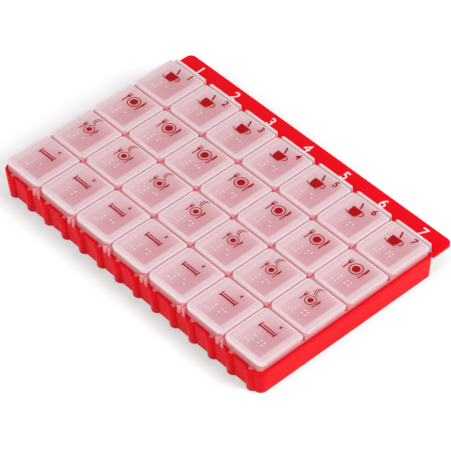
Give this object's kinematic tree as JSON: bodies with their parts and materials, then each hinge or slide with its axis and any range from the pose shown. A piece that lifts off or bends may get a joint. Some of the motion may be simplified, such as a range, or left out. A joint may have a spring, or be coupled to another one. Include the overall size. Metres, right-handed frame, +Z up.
{
  "type": "weekly pill organizer",
  "caption": "Flat pill organizer: a shallow tray with a waved front wall and a header strip holds lift-out day strips, each a row of compartments closed by hinged snap lids.",
  "frame": {"origin": "centre of the bounding box in plan, on the surface that the tray stands on", "axes": "+X across the days from the first to the last, +Y from the bedtime row towards the header, +Z up"},
  "size_m": [0.2184, 0.1468, 0.0219],
  "materials": {
    "tray": "moulded red plastic, satin gloss",
    "strip": "frosted translucent polypropylene",
    "lid": "frosted translucent polypropylene with dark red print"
  },
  "bodies": {
    "tray": {"tray": "tray"},
    "day_strip_1": {"day_strip_1": "strip"},
    "lid_1_breakfast": {"lid_1_breakfast": "lid"},
    "lid_1_lunch": {"lid_1_lunch": "lid"},
    "lid_1_dinner": {"lid_1_dinner": "lid"},
    "lid_1_bedtime": {"lid_1_bedtime": "lid"},
    "day_strip_2": {"day_strip_2": "strip"},
    "lid_2_breakfast": {"lid_2_breakfast": "lid"},
    "lid_2_lunch": {"lid_2_lunch": "lid"},
    "lid_2_dinner": {"lid_2_dinner": "lid"},
    "lid_2_bedtime": {"lid_2_bedtime": "lid"},
    "day_strip_3": {"day_strip_3": "strip"},
    "lid_3_breakfast": {"lid_3_breakfast": "lid"},
    "lid_3_lunch": {"lid_3_lunch": "lid"},
    "lid_3_dinner": {"lid_3_dinner": "lid"},
    "lid_3_bedtime": {"lid_3_bedtime": "lid"},
    "day_strip_4": {"day_strip_4": "strip"},
    "lid_4_breakfast": {"lid_4_breakfast": "lid"},
    "lid_4_lunch": {"lid_4_lunch": "lid"},
    "lid_4_dinner": {"lid_4_dinner": "lid"},
    "lid_4_bedtime": {"lid_4_bedtime": "lid"},
    "day_strip_5": {"day_strip_5": "strip"},
    "lid_5_breakfast": {"lid_5_breakfast": "lid"},
    "lid_5_lunch": {"lid_5_lunch": "lid"},
    "lid_5_dinner": {"lid_5_dinner": "lid"},
    "lid_5_bedtime": {"lid_5_bedtime": "lid"},
    "day_strip_6": {"day_strip_6": "strip"},
    "lid_6_breakfast": {"lid_6_breakfast": "lid"},
    "lid_6_lunch": {"lid_6_lunch": "lid"},
    "lid_6_dinner": {"lid_6_dinner": "lid"},
    "lid_6_bedtime": {"lid_6_bedtime": "lid"},
    "day_strip_7": {"day_strip_7": "strip"},
    "lid_7_breakfast": {"lid_7_breakfast": "lid"},
    "lid_7_lunch": {"lid_7_lunch": "lid"},
    "lid_7_dinner": {"lid_7_dinner": "lid"},
    "lid_7_bedtime": {"lid_7_bedtime": "lid"}
  },
  "joints": [
    {"name": "lift_1", "type": "slide", "parent": "tray", "child": "day_strip_1", "axis": [0, 0, 1], "range_m": [0, 0.03]},
    {"name": "hinge_1_breakfast", "type": "hinge", "parent": "day_strip_1", "child": "lid_1_breakfast", "pos_m": [-0.093, 0.05547, 0.0191], "axis": [-1, 0, 0], "range_deg": [0, 95]},
    {"name": "hinge_1_lunch", "type": "hinge", "parent": "day_strip_1", "child": "lid_1_lunch", "pos_m": [-0.093, 0.02382, 0.0191], "axis": [-1, 0, 0], "range_deg": [0, 95]},
    {"name": "hinge_1_dinner", "type": "hinge", "parent": "day_strip_1", "child": "lid_1_dinner", "pos_m": [-0.093, -0.00783, 0.0191], "axis": [-1, 0, 0], "range_deg": [0, 95]},
    {"name": "hinge_1_bedtime", "type": "hinge", "parent": "day_strip_1", "child": "lid_1_bedtime", "pos_m": [-0.093, -0.03948, 0.0191], "axis": [-1, 0, 0], "range_deg": [0, 95]},
    {"name": "lift_2", "type": "slide", "parent": "tray", "child": "day_strip_2", "axis": [0, 0, 1], "range_m": [0, 0.03]},
    {"name": "hinge_2_breakfast", "type": "hinge", "parent": "day_strip_2", "child": "lid_2_breakfast", "pos_m": [-0.062, 0.05547, 0.0191], "axis": [-1, 0, 0], "range_deg": [0, 95]},
    {"name": "hinge_2_lunch", "type": "hinge", "parent": "day_strip_2", "child": "lid_2_lunch", "pos_m": [-0.062, 0.02382, 0.0191], "axis": [-1, 0, 0], "range_deg": [0, 95]},
    {"name": "hinge_2_dinner", "type": "hinge", "parent": "day_strip_2", "child": "lid_2_dinner", "pos_m": [-0.062, -0.00783, 0.0191], "axis": [-1, 0, 0], "range_deg": [0, 95]},
    {"name": "hinge_2_bedtime", "type": "hinge", "parent": "day_strip_2", "child": "lid_2_bedtime", "pos_m": [-0.062, -0.03948, 0.0191], "axis": [-1, 0, 0], "range_deg": [0, 95]},
    {"name": "lift_3", "type": "slide", "parent": "tray", "child": "day_strip_3", "axis": [0, 0, 1], "range_m": [0, 0.03]},
    {"name": "hinge_3_breakfast", "type": "hinge", "parent": "day_strip_3", "child": "lid_3_breakfast", "pos_m": [-0.031, 0.05547, 0.0191], "axis": [-1, 0, 0], "range_deg": [0, 95]},
    {"name": "hinge_3_lunch", "type": "hinge", "parent": "day_strip_3", "child": "lid_3_lunch", "pos_m": [-0.031, 0.02382, 0.0191], "axis": [-1, 0, 0], "range_deg": [0, 95]},
    {"name": "hinge_3_dinner", "type": "hinge", "parent": "day_strip_3", "child": "lid_3_dinner", "pos_m": [-0.031, -0.00783, 0.0191], "axis": [-1, 0, 0], "range_deg": [0, 95]},
    {"name": "hinge_3_bedtime", "type": "hinge", "parent": "day_strip_3", "child": "lid_3_bedtime", "pos_m": [-0.031, -0.03948, 0.0191], "axis": [-1, 0, 0], "range_deg": [0, 95]},
    {"name": "lift_4", "type": "slide", "parent": "tray", "child": "day_strip_4", "axis": [0, 0, 1], "range_m": [0, 0.03]},
    {"name": "hinge_4_breakfast", "type": "hinge", "parent": "day_strip_4", "child": "lid_4_breakfast", "pos_m": [0, 0.05547, 0.0191], "axis": [-1, 0, 0], "range_deg": [0, 95]},
    {"name": "hinge_4_lunch", "type": "hinge", "parent": "day_strip_4", "child": "lid_4_lunch", "pos_m": [0, 0.02382, 0.0191], "axis": [-1, 0, 0], "range_deg": [0, 95]},
    {"name": "hinge_4_dinner", "type": "hinge", "parent": "day_strip_4", "child": "lid_4_dinner", "pos_m": [0, -0.00783, 0.0191], "axis": [-1, 0, 0], "range_deg": [0, 95]},
    {"name": "hinge_4_bedtime", "type": "hinge", "parent": "day_strip_4", "child": "lid_4_bedtime", "pos_m": [0, -0.03948, 0.0191], "axis": [-1, 0, 0], "range_deg": [0, 95]},
    {"name": "lift_5", "type": "slide", "parent": "tray", "child": "day_strip_5", "axis": [0, 0, 1], "range_m": [0, 0.03]},
    {"name": "hinge_5_breakfast", "type": "hinge", "parent": "day_strip_5", "child": "lid_5_breakfast", "pos_m": [0.031, 0.05547, 0.0191], "axis": [-1, 0, 0], "range_deg": [0, 95]},
    {"name": "hinge_5_lunch", "type": "hinge", "parent": "day_strip_5", "child": "lid_5_lunch", "pos_m": [0.031, 0.02382, 0.0191], "axis": [-1, 0, 0], "range_deg": [0, 95]},
    {"name": "hinge_5_dinner", "type": "hinge", "parent": "day_strip_5", "child": "lid_5_dinner", "pos_m": [0.031, -0.00783, 0.0191], "axis": [-1, 0, 0], "range_deg": [0, 95]},
    {"name": "hinge_5_bedtime", "type": "hinge", "parent": "day_strip_5", "child": "lid_5_bedtime", "pos_m": [0.031, -0.03948, 0.0191], "axis": [-1, 0, 0], "range_deg": [0, 95]},
    {"name": "lift_6", "type": "slide", "parent": "tray", "child": "day_strip_6", "axis": [0, 0, 1], "range_m": [0, 0.03]},
    {"name": "hinge_6_breakfast", "type": "hinge", "parent": "day_strip_6", "child": "lid_6_breakfast", "pos_m": [0.062, 0.05547, 0.0191], "axis": [-1, 0, 0], "range_deg": [0, 95]},
    {"name": "hinge_6_lunch", "type": "hinge", "parent": "day_strip_6", "child": "lid_6_lunch", "pos_m": [0.062, 0.02382, 0.0191], "axis": [-1, 0, 0], "range_deg": [0, 95]},
    {"name": "hinge_6_dinner", "type": "hinge", "parent": "day_strip_6", "child": "lid_6_dinner", "pos_m": [0.062, -0.00783, 0.0191], "axis": [-1, 0, 0], "range_deg": [0, 95]},
    {"name": "hinge_6_bedtime", "type": "hinge", "parent": "day_strip_6", "child": "lid_6_bedtime", "pos_m": [0.062, -0.03948, 0.0191], "axis": [-1, 0, 0], "range_deg": [0, 95]},
    {"name": "lift_7", "type": "slide", "parent": "tray", "child": "day_strip_7", "axis": [0, 0, 1], "range_m": [0, 0.03]},
    {"name": "hinge_7_breakfast", "type": "hinge", "parent": "day_strip_7", "child": "lid_7_breakfast", "pos_m": [0.093, 0.05547, 0.0191], "axis": [-1, 0, 0], "range_deg": [0, 95]},
    {"name": "hinge_7_lunch", "type": "hinge", "parent": "day_strip_7", "child": "lid_7_lunch", "pos_m": [0.093, 0.02382, 0.0191], "axis": [-1, 0, 0], "range_deg": [0, 95]},
    {"name": "hinge_7_dinner", "type": "hinge", "parent": "day_strip_7", "child": "lid_7_dinner", "pos_m": [0.093, -0.00783, 0.0191], "axis": [-1, 0, 0], "range_deg": [0, 95]},
    {"name": "hinge_7_bedtime", "type": "hinge", "parent": "day_strip_7", "child": "lid_7_bedtime", "pos_m": [0.093, -0.03948, 0.0191], "axis": [-1, 0, 0], "range_deg": [0, 95]}
  ]
}
